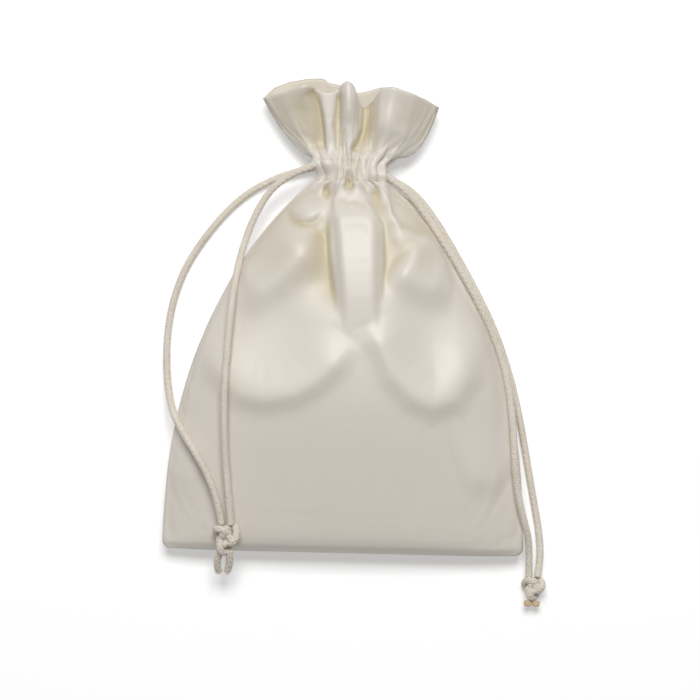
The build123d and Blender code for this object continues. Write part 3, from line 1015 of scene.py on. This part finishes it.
# The header's valleys, creases and lobes, from left to right; most valleys paint shade into the cloth's
# colour, and the two flat dishes paint shade only.
HEADER_FORMS: tuple[Form, ...] = (
    Fold([(-18, 166), (-17, 158), (-14.2, 150), (-11.6, 142)], -2.4, 3.4, 6.0, 0.4, 0.15, 2.0, 0.4),
    Fold([(-15.2, 166), (-12.4, 160), (-11, 155), (-10.2, 150), (-9.5, 141)],
         -2.4, 0.7, 3.8, 0.1, 0.1, 2.0, 0.5),
    Fold([(-5.0, 165), (-5.8, 157), (-6.2, 152), (-5.0, 141)], -2.0, 2.4, 0.7, 0.15, 0.1, 2.0, 0.5),
    Fold([(-2.4, 167), (-2.0, 159), (-1.6, 152)], 1.6, 2.8, 2.6, 0.4, 0.4),
    Fold([(4.0, 162), (4.4, 157), (4.0, 151.5), (2.0, 146.5), (-0.4, 142.5)],
         -3.4, 3.4, 0.8, 0.0, 0.1, 2.0, 0.9),
    Dish((12.5, 153.5), (9.0, 9.0), 1.3),
    # Painted shade only: these two darken the header's colour and do not move the cloth.
    Dish((-24, 157), (18, 18), 0.0, 0.35),
    Dish((24, 155), (18, 20), 0.0, 0.35),
    Fold([(22, 164), (20.5, 156), (17, 149)], -0.9, 5.0, 5.0, 0.5, 0.4),
    Fold([(10.5, 153), (8.2, 146), (6.5, 142)], -1.1, 1.6, 1.8, 0.6, 0.1, 2.0, 0.5),
)
# The front's height over the seam plane along its middle, by distance from the base.
FRONT_SPINE = ((0, 1.0), (0.7, 3.6), (1.8, 6.0), (4, 7.7), (8, 9.2), (12, 10.2), (45, 17.8), (60, 20.2),
               (80, 20.4), (100, 17.9), (118, 14.1), (132, 7.0))
CORD_TUNNELS = (Dish((-10.0, 138.25), (7.0, 4.6), 2.3), Dish((10.0, 134.75), (7.0, 4.6), 2.3))


# Each face's rim from left to right: x, distance from the base and height off the seam plane.
RIMS = {
    Side.FRONT: ((-32.5, 161.6, 0.0), (-25, 163.2, 7.0), (-17.5, 166.0, 10.6), (-15, 165.6, 9.0),
                 (-13, 164.4, 6.2), (-12, 163.9, 8.0), (-9.2, 163.3, 8.2), (-6.2, 164.2, 7.6),
                 (-5.2, 165.3, 6.2), (-4.4, 166.5, 9.0), (-2.2, 167.8, 11.2), (0.3, 166.2, 10.2),
                 (1.4, 163.2, 7.6), (2.4, 160.2, 4.2), (4.0, 159.2, 2.8), (6.5, 160.8, 3.6),
                 (8.6, 163.8, 6.6), (9.8, 165.6, 9.2), (14, 165.9, 11.2), (22, 163.4, 9.6),
                 (31.0, 159.8, 0.0)),
    Side.BACK: ((-32.5, 161.6, 0.0), (-28.6, 165.8, 2.5), (-23, 168.2, 3.6), (-17, 169.4, 3.2),
                (-11, 169.9, 4.6), (-8.6, 168.2, 4.2), (-4, 167.4, 4.6), (1.6, 164.9, 5.0), (5.6, 165.8, 5.2),
                (9.8, 167.2, 5.0), (15, 167.2, 4.4), (20, 165.6, 4.6), (26, 163.0, 2.6), (31.0, 159.8, 0.0)),
}
PLEATS = {Side.FRONT: FRONT_PLEATS, Side.BACK: BACK_PLEATS}

# How Blender's cloth takes the satin, ten times life size.
SATIN_DRAPE = {"quality": 6, "mass": 0.15, "tension_stiffness": 15.0, "compression_stiffness": 15.0,
               "shear_stiffness": 5.0, "bending_stiffness": 0.25, "pin_stiffness": 1.0}


@dataclass
class SatinPouch:
    """The bag itself: one gathered cloth from its base seam through the casing to the rim."""

    base_y: float = -85.0
    seam_height: float = 8.5
    body_length: float = 132.0
    casing_height: float = 9.0
    flat_width: float = 130.0
    flat_length: float = 180.0
    half_base: float = 64.6
    half_neck: float = 12.1
    side_curve: float = 2.2
    side_roundness: float = 0.8
    corner_round: float = 3.0
    base_height: float = 1.0
    ring_height: float = 7.3
    back_fullness: float = 11.0
    ring_straight: float = 4.8
    ring_radius: float = 6.6
    waist: float = 136.2
    waist_reach: float = 4.8
    waist_flare: tuple[float, float, float] = (0.21, 0.26, 0.42)
    neck_swell: float = 1.9
    neck_reach: float = 5.0
    right_spread: float = 1.3
    pleat_depth: float = 0.9
    front_gather: float = 3.5
    back_gather: float = 9.0
    ring_start: float = 0.9
    tunnel_reach: float = 6.0
    back_wave: float = 1.1
    back_waves: float = 4.6
    back_wave_reach: float = 30.0
    edge_ease: float = 4.0
    tunnel_fade: float = 20.0
    front_crown: Point2 = (2.4, 0.62)
    back_crown: Point2 = (5.0, 0.5)
    cloth: float = 0.5
    floor_gap: float = 0.15
    columns: int = 128
    edge_rows: tuple[float, ...] = (0.0, 0.25, 0.7, 1.3, 2.1, 3.1, 4.4, 6.0)
    first_row: float = 7.5
    body_rows: int = 104
    casing_rows: int = 24
    header_rows: int = 26
    rim_steps: int = 400
    rim_softness: int = 9
    flat_header: float = 28.0
    deep_fold: float = 1.0
    mask_passes: int = 10
    # Painted shade: its strength on the back's inner face, and the rows where the header's and the inner
    # face's painted shade fade in.
    inner_painted_shade: float = 0.35
    header_shade_fade: Point2 = (140.5, 149.5)
    inner_shade_fade: Point2 = (143.0, 150.0)
    mouth: Point3 = (8.5, 49.75, 13.5)
    mouth_radius: float = 1.75
    sim_scale: float = 10.0
    sim_frames: int = 22
    neck_fullness: float = 0.09
    edge_hold: float = 0.35
    cloth_hold: float = 0.16
    furthest_move: float = 6.0

    def half_width(self, laid: float) -> float:
        """Give the half width at a distance from the base, its corners rounded."""
        share = min(laid / self.body_length, 1.0)
        spread = (1.0 - share**self.side_curve) ** self.side_roundness
        half = self.half_neck + (self.half_base - self.half_neck) * spread
        corner = min(laid / self.corner_round, 1.0)
        half -= self.corner_round * (1.0 - math.sqrt(1.0 - (1.0 - corner) ** 2))
        return half + self.neck_swell * math.exp(-(self.body_length - laid) / self.neck_reach)

    def ring_scale(self, laid: float, across: np.ndarray) -> np.ndarray:
        """Give how much wider than its waist the gathered ring is.

        Args:
            laid: the row's distance from the base.
            across: the points' share across.

        Returns:
            The scale at each point.
        """
        below, left, right = self.waist_flare
        reach = (laid - self.waist) / self.waist_reach
        flare = below if reach < 0.0 else np.where(across < 0.0, left, right)
        return 1.0 + flare * np.abs(reach) ** 1.8 * np.abs(across) ** 0.5

    def rise(self, laid: float, side: Side) -> float:
        """Give how far a face stands off the seam plane at its middle.

        Args:
            laid: the distance from the base.
            side: which face.

        Returns:
            The distance in millimetres.
        """
        if side is Side.FRONT:
            reach = min(max(laid - 5.0, 0.0), 9.0)
            near = np.linspace(laid - reach, laid + reach, 25)
            places, heights = zip(*FRONT_SPINE)
            return float(np.interp(near, places, heights).mean())
        share = laid / self.body_length
        swell = (4.0 * share * (1.0 - share)) ** 0.8
        free = self.base_height + (self.ring_height - self.base_height) * share + self.back_fullness * swell
        floor = self.seam_height - 0.05
        return floor / (1.0 + (floor / free) ** 6) ** (1.0 / 6.0)

    def lens(self, half: float, height: float, crown: Point2,
             across: np.ndarray) -> tuple[np.ndarray, np.ndarray]:
        """Space points evenly over a crowned cross-section.

        Args:
            half: its half width.
            height: its height.
            crown: the two powers that shape it.
            across: the points' share from -1 to 1 of its length.

        Returns:
            The points' x and their height.
        """
        fine = np.sin(np.linspace(-0.5 * math.pi, 0.5 * math.pi, 801))
        x = half * fine
        z = height * (1.0 - np.abs(fine) ** crown[0]) ** crown[1]
        passed = np.concatenate([[0.0], np.cumsum(np.hypot(np.diff(x), np.diff(z)))])
        wanted = 0.5 * (across + 1.0) * passed[-1]
        return np.interp(wanted, passed, x), np.interp(wanted, passed, z)

    def ring(self, across: np.ndarray) -> tuple[np.ndarray, np.ndarray, np.ndarray, np.ndarray]:
        """Give points and outward directions on half of the casing's ring.

        Args:
            across: the points' share from -1 to 1 of the half ring.

        Returns:
            Their x, their height, and the outward direction's x and height.
        """
        half = self.ring_straight + 0.5 * math.pi * self.ring_radius
        passed = across * half
        turned = (np.abs(passed) - self.ring_straight) / self.ring_radius
        angle = np.sign(passed) * np.clip(turned, 0.0, 0.5 * math.pi)
        straight = np.clip(passed, -self.ring_straight, self.ring_straight)
        x = straight + self.ring_radius * np.sin(angle)
        return x, self.ring_radius * np.cos(angle), np.sin(angle), np.cos(angle)

    def pleating(self, across: np.ndarray, side: Side, laid: float) -> np.ndarray:
        """Give the gathers' wave: uneven round tops and narrow valleys.

        Args:
            across: the share from -1 to 1 of the half ring.
            side: which face.
            laid: the row's distance from the base.

        Returns:
            The wave, which fades out at the side mouths.
        """
        tops = PLEATS[side]
        height = np.array([top[1] for top in tops])
        drift = 0.012 * (laid - self.body_length - 0.5 * self.casing_height)
        place = np.array([top[0] + drift * math.sin(2.4 * number) for number, top in enumerate(tops)])
        number = np.clip(np.searchsorted(place, across), 1, len(place) - 1)
        share = (across - place[number - 1]) / (place[number] - place[number - 1])
        top = (1.0 - share) * height[number - 1] + share * height[number]
        wave = np.abs(np.cos(math.pi * share)) ** 0.8
        return top * (1.9 * wave - 0.9) * (1.0 - across**8)

    def body_row(self, laid: float, across: np.ndarray, side: Side) -> np.ndarray:
        """Lay one row of the body.

        Args:
            laid: the row's distance from the base.
            across: the points' share across.
            side: which face.

        Returns:
            The row's points in millimetres.
        """
        half = self.half_width(laid)
        crown = self.front_crown if side is Side.FRONT else self.back_crown
        x, z = self.lens(half, self.rise(laid, side), crown, across)
        ring_x, ring_z, _, _ = self.ring(across)
        closing = float(smooth_step(self.ring_start, 1.0, laid / self.body_length))
        x = (1.0 - closing) * x + closing * ring_x * half / (self.ring_straight + self.ring_radius)
        z = (1.0 - closing) * z + closing * ring_z
        slope_x, slope_z = np.gradient(x), np.gradient(z)
        steep = np.hypot(slope_x, slope_z)
        left = self.body_length - laid
        reach = self.front_gather if side is Side.FRONT else self.back_gather
        spread = self.right_spread * smooth_step(40.0, 70.0, laid) * (1.0 - smooth_step(124.0, 131.0, laid))
        x = x + spread * np.clip(x / half, 0.0, 1.0) ** 2
        gather = self.pleat_depth * math.exp(-left / reach) * self.pleating(across, side, laid)
        if left < self.tunnel_reach:
            gather = gather + total_rise(CORD_TUNNELS, x, laid)
        x = x - gather * slope_z / steep
        z = z + gather * slope_x / steep
        if side is Side.FRONT:
            z = z + total_rise(FRONT_FORMS, x, laid) * smooth_step(0.0, self.edge_ease, z)
        else:
            wave = np.cos(self.back_waves * math.pi * across) * (1.0 - across**4)
            z = z + self.back_wave * math.exp(-left / self.back_wave_reach) * wave
        return np.stack([x, np.full_like(x, laid), self.seam_height + side.value * z], axis=1)

    def casing_row(self, laid: float, across: np.ndarray, side: Side) -> np.ndarray:
        """Lay one row of the pleated casing.

        Args:
            laid: the row's distance from the base.
            across: the points' share across.
            side: which face.

        Returns:
            The row's points in millimetres.
        """
        x, z, out_x, out_z = self.ring(across)
        x = x * self.ring_scale(laid, across)
        offset = self.pleat_depth * self.pleating(across, side, laid)
        offset = offset + 0.4 * math.sin(math.pi * (laid - self.body_length) / self.casing_height)
        offset = offset + total_rise(CORD_TUNNELS, x, laid)
        if side is Side.FRONT:
            offset = offset + total_rise(CASING_STRANDS, x, laid)
        return np.stack([x + offset * out_x, np.full_like(x, laid),
                         self.seam_height + side.value * (z + offset * out_z)], axis=1)

    def header_row(self, share: float, across: np.ndarray, side: Side) -> np.ndarray:
        """Lay one row of the flared header.

        Args:
            share: how far the row lies from the casing to the rim.
            across: the points' share across.
            side: which face.

        Returns:
            The row's points in millimetres.
        """
        x, z, out_x, out_z = self.ring(across)
        start = self.body_length + self.casing_height
        x = x * self.ring_scale(start, across)
        offset = self.pleat_depth * self.pleating(across, side, start) * (1.0 - smooth_step(0.0, 0.4, share))
        tunnels = total_rise(CORD_TUNNELS, x, start + self.tunnel_fade * share)
        x, z = x + (offset + tunnels) * out_x, z + (offset + tunnels) * out_z
        rim = np.array(RIMS[side], float)
        fine = soften(spread_evenly(rim, self.rim_steps), self.rim_softness)
        fine[0], fine[-1] = rim[0], rim[-1]
        wanted, steps = 0.5 * (across + 1.0), np.linspace(0, 1, self.rim_steps)
        edge = np.stack([np.interp(wanted, steps, fine[:, axis]) for axis in range(3)], axis=1)
        edge_flare = np.where(across < 0.0, 0.66, 0.42)
        flare = share ** (0.8 + (edge_flare - 0.8) * np.abs(across) ** 3)
        laid = start + (edge[:, 1] - start) * share
        x = (1.0 - flare) * x + flare * edge[:, 0]
        z = (1.0 - flare) * z + flare * edge[:, 2]
        if side is Side.FRONT:
            z = z + total_rise(HEADER_FORMS, x, laid) * (1.0 - across**6) * smooth_step(0.0, 0.1, share)
        return np.stack([x, laid, self.seam_height + side.value * z], axis=1)

    def sheet_points(self, side: Side) -> tuple[np.ndarray, np.ndarray]:
        """Lay one whole face.

        Args:
            side: which face.

        Returns:
            The laid points by row and column, and the same points on the flat cloth.
        """
        across = np.linspace(-1.0, 1.0, self.columns + 1)
        casing_end = self.body_length + self.casing_height
        laid, flat = [], []
        stretch = (self.flat_length - self.flat_header - self.casing_height) / self.body_length
        for row in (*self.edge_rows, *np.linspace(self.first_row, self.body_length, self.body_rows)):
            laid.append(self.body_row(float(row), across, side))
            flat.append(row * stretch)
        for row in np.linspace(self.body_length, casing_end, self.casing_rows)[1:]:
            laid.append(self.casing_row(float(row), across, side))
            flat.append(self.body_length * stretch + row - self.body_length)
        for share in np.linspace(0.0, 1.0, self.header_rows)[1:]:
            laid.append(self.header_row(float(share), across, side))
            flat.append(self.flat_length - self.flat_header * (1.0 - share))
        points = np.array(laid)
        plain = np.zeros_like(points)
        plain[:, :, 0] = across[None, :] * 0.5 * self.flat_width
        plain[:, :, 1] = np.array(flat)[:, None]
        return points, plain

    def cloth_mesh(self) -> tuple[np.ndarray, np.ndarray, list[tuple[int, ...]]]:
        """Join both faces at the side seams and along the base.

        Returns:
            The laid points, the flat points and the faces.
        """
        front, front_flat = self.sheet_points(Side.FRONT)
        back, back_flat = self.sheet_points(Side.BACK)
        rows, columns = front.shape[:2]
        front[:, 0, 2] = front[:, -1, 2] = self.seam_height
        front[0, :, 2] = self.seam_height
        numbers = {Side.FRONT: np.arange(rows * columns).reshape(rows, columns)}
        own = np.full((rows, columns), -1)
        own[:, 0] = numbers[Side.FRONT][:, 0]
        own[:, -1] = numbers[Side.FRONT][:, -1]
        own[0, :] = numbers[Side.FRONT][0, :]
        free = own < 0
        own[free] = rows * columns + np.arange(int(free.sum()))
        numbers[Side.BACK] = own
        points = np.vstack([front.reshape(-1, 3), back[free]])
        flat = np.vstack([front_flat.reshape(-1, 3), back_flat[free]])
        points[:, 1] += self.base_y
        faces = []
        for side, grid in numbers.items():
            for row in range(rows - 1):
                for column in range(columns - 1):
                    corner = (grid[row, column], grid[row, column + 1], grid[row + 1, column + 1],
                              grid[row + 1, column])
                    faces.append(tuple(int(v) for v in (corner if side is Side.FRONT else corner[::-1])))
        return points, flat, faces

    def lay_ground(self) -> bpy.types.Object:
        """Lay the surface that the cloth settles on, and give it back."""
        select_none()
        bpy.ops.mesh.primitive_plane_add(size=6.0, location=(0.0, 0.0, 0.0))
        ground = bpy.context.object
        ground.modifiers.new("ground", "COLLISION")
        ground.collision.thickness_outer = 0.002
        return ground

    def relax(self, points: np.ndarray, faces: list[tuple[int, ...]]) -> np.ndarray:
        """Let the cloth settle over its shape with Blender's cloth.

        Args:
            points: the laid points in millimetres.
            faces: the faces.

        Returns:
            The settled points in millimetres.
        """
        scale = self.sim_scale * MM
        cloth = mesh_piece("settling", points * scale, faces)
        cloth.shape_key_add(name="Basis")
        eased = points.copy()
        near_neck = smooth_step(60.0, 125.0, points[:, 1] - self.base_y)
        eased[:, 0] *= 1.0 + self.neck_fullness * near_neck
        rest = cloth.shape_key_add(name="Cut")
        rest.data.foreach_set("co", (eased * scale).ravel())
        hold = cloth.vertex_groups.new(name="hold")
        laid = points[:, 1] - self.base_y
        fixed = (laid >= self.body_length - 0.1) & (laid <= self.body_length + self.casing_height + 0.1)
        edge = np.abs(points[:, 2] - self.seam_height) < 0.01
        for number in range(len(points)):
            weight = 1.0 if fixed[number] else self.edge_hold if edge[number] else self.cloth_hold
            hold.add([number], weight, "REPLACE")
        ground = self.lay_ground()
        modifier = cloth.modifiers.new("cloth", "CLOTH")
        settings = modifier.settings
        for label, value in SATIN_DRAPE.items():
            setattr(settings, label, value)
        settings.vertex_group_mass = "hold"
        settings.rest_shape_key = rest
        settings.effector_weights.gravity = 0.3
        modifier.collision_settings.distance_min = 0.003
        modifier.collision_settings.use_self_collision = False
        scene = bpy.context.scene
        for step in range(1, self.sim_frames + 1):
            scene.frame_set(step)
        settled = bpy.data.meshes.new_from_object(cloth.evaluated_get(bpy.context.evaluated_depsgraph_get()))
        found = np.zeros(len(settled.vertices) * 3)
        settled.vertices.foreach_get("co", found)
        found = found.reshape(-1, 3) / scale
        bpy.data.meshes.remove(settled)
        bpy.data.objects.remove(cloth)
        bpy.data.objects.remove(ground)
        scene.frame_set(1)
        moved = found - points
        far = np.linalg.norm(moved, axis=1, keepdims=True)
        found = points + moved * np.minimum(1.0, self.furthest_move / np.maximum(far, 1e-6))
        LOG.info("cloth settled, mean move %.2f mm", float(far.mean()))
        return found

    def painted_shade_mask(self, points: np.ndarray, faces: list[tuple[int, ...]]) -> np.ndarray:
        """Find how deep each point lies in a fold, for the painted shade in the cloth's colour.

        Args:
            points: the cloth's points in millimetres.
            faces: its faces.

        Returns:
            A painted shade mask from 0 on open cloth to 1 in a deep fold, with the forms' painted shade on
            the front and a painted shade on the back's inner face near the rim.
        """
        corners = np.array(faces)
        pairs = np.vstack([corners[:, [0, 1]], corners[:, [1, 2]], corners[:, [2, 3]], corners[:, [3, 0]]])
        count = np.bincount(pairs.ravel(), minlength=len(points)).astype(float)
        first, second, third, fourth = (points[corners[:, place]] for place in range(4))
        diagonals = np.cross(third - first, fourth - second)
        normals = np.zeros_like(points)
        for place in range(4):
            np.add.at(normals, corners[:, place], diagonals)
        normals /= np.maximum(np.linalg.norm(normals, axis=1, keepdims=True), 1e-9)
        smoothed = points.copy()
        for _ in range(self.mask_passes):
            total = np.zeros_like(points)
            np.add.at(total, pairs[:, 0], smoothed[pairs[:, 1]])
            np.add.at(total, pairs[:, 1], smoothed[pairs[:, 0]])
            smoothed = 0.5 * smoothed + 0.5 * total / count[:, None]
        depth = np.einsum("ij,ij->i", smoothed - points, normals) / self.deep_fold
        x, laid = points[:, 0], points[:, 1] - self.base_y
        painted_shade = total_painted_shade(FRONT_FORMS, x, laid)
        painted_shade = painted_shade + total_painted_shade(HEADER_FORMS, x, laid) * smooth_step(*self.header_shade_fade, laid)
        # Painted shade on the back sheet's inner face near the rim, seen through the header's gaps.
        inner = self.inner_painted_shade * smooth_step(*self.inner_shade_fade, laid)
        return np.clip(depth + np.where(points[:, 2] > self.seam_height + 0.5, painted_shade, inner), 0.0, 1.0)

    def open_mouth(self, points: np.ndarray, faces: list[tuple[int, ...]]) -> list[tuple[int, ...]]:
        """Leave out the cloth where the right-hand cord comes out of the casing.

        Args:
            points: the cloth's points in millimetres.
            faces: its faces.

        Returns:
            The faces that stay.
        """
        centres = points[np.array(faces)].mean(axis=1)
        x, y, z = self.mouth
        near = np.hypot(centres[:, 1] - y, centres[:, 2] - z) < self.mouth_radius
        return [face for face, is_open in zip(faces, near & (centres[:, 0] > x)) if not is_open]

    def build(self, finishes: Finishes) -> None:
        """Make the dressed pouch.

        Args:
            finishes: the scene's materials.
        """
        points, flat, faces = self.cloth_mesh()
        points = self.relax(points, faces)
        points[:, 2] = np.maximum(points[:, 2], self.floor_gap + 0.5 * self.cloth)
        shades = self.painted_shade_mask(points, faces)
        piece = mesh_piece("satin_pouch", points * MM, self.open_mouth(points, faces))
        layer = piece.data.uv_layers.new(name="cloth")
        corners = np.zeros(len(piece.data.loops), dtype=np.int64)
        piece.data.loops.foreach_get("vertex_index", corners)
        layer.uv.foreach_set("vector", (flat[corners][:, :2] * MM).ravel())
        # Store the painted shade mask on the cloth for the satin's colour.
        shade = piece.data.attributes.new("painted_fold_shade", "FLOAT", "POINT")
        shade.data.foreach_set("value", shades)
        wall = piece.modifiers.new("wall", "SOLIDIFY")
        wall.thickness = self.cloth * MM
        wall.offset = -1.0
        apply_modifiers(piece)
        dress(piece, finishes.satin)
        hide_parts("front_panel", "back_panel", "front_casing", "back_casing", "front_header",
                    "back_header", "front_lining", "back_lining", "left_side_seam", "right_side_seam",
                    "base_seam")
        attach(piece, "pouch")
        LOG.info("satin pouch: %d faces", len(piece.data.polygons))


@dataclass
class StitchRow:
    """One row of running stitches through the gathered casing."""

    name: str
    node: str
    laid: float
    stitch: float = 1.7
    gap: float = 1.1
    thread: float = 0.3
    dive: float = 0.4
    lift: float = 0.05
    step: float = 0.1

    def build(self, pouch: SatinPouch, finishes: Finishes) -> None:
        """Sew the row round the casing.

        Args:
            pouch: the pouch whose cloth the row follows.
            finishes: the scene's materials.
        """
        corners, faces, count = [], [], 0
        for side in Side:
            line = pouch.casing_row(self.laid, np.linspace(-0.96, 0.96, 600), side)
            line[:, 1] += pouch.base_y
            length = float(np.linalg.norm(np.diff(line, axis=0), axis=1).sum())
            line = spread_evenly(line, int(length / self.step))
            along = np.gradient(line, axis=0)
            outward = np.stack([-along[:, 2], np.zeros(len(line)), along[:, 0]], axis=1) * side.value
            outward /= np.linalg.norm(outward, axis=1, keepdims=True)
            stitch = int(self.stitch / self.step)
            for start in range(4, len(line) - stitch, stitch + int(self.gap / self.step)):
                run = slice(start, start + stitch)
                depth = self.lift - self.dive * np.linspace(-1.0, 1.0, stitch)[:, None] ** 6
                points, skin = tube((line[run] + outward[run] * depth) * MM, 0.5 * self.thread * MM, 6, count)
                corners.append(points)
                faces.extend(skin)
                count += len(points)
        piece = mesh_piece(self.name, np.vstack(corners), faces)
        dress(piece, finishes.thread)
        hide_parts(self.node)
        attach(piece, "pouch")


def dress_cad_nodes(finishes: Finishes) -> None:
    """Give the CAD nodes that stay in view their finishes.

    Args:
        finishes: the scene's materials.
    """
    for name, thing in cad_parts.items():
        if "stitch" in name or "seam" in name:
            material = finishes.thread
        elif "sealed" in name:
            material = finishes.sealed
        elif "cord" in name or "run" in name or "strand" in name or "knot" in name:
            material = finishes.cord
        else:
            material = finishes.satin
        for slot in thing.material_slots:
            slot.material = material


def main() -> None:
    """Build the studio and the pouch, piece by piece."""
    logging.basicConfig(level=logging.INFO, format="%(name)s: %(message)s")
    bpy.context.scene.view_settings.view_transform = "Standard"
    studio = Studio()
    studio.set_camera()
    finishes = Finishes.mixed()
    dress_cad_nodes(finishes)
    Drawcords().build(finishes)
    pouch = SatinPouch()
    pouch.build(finishes)
    StitchRow("lower_stitches", "lower_stitch_row", 132.9).build(pouch, finishes)
    StitchRow("upper_stitches", "upper_stitch_row", 140.1).build(pouch, finishes)
    studio.light()
    studio.lay_floor()


if __name__ == "__main__":
    main()
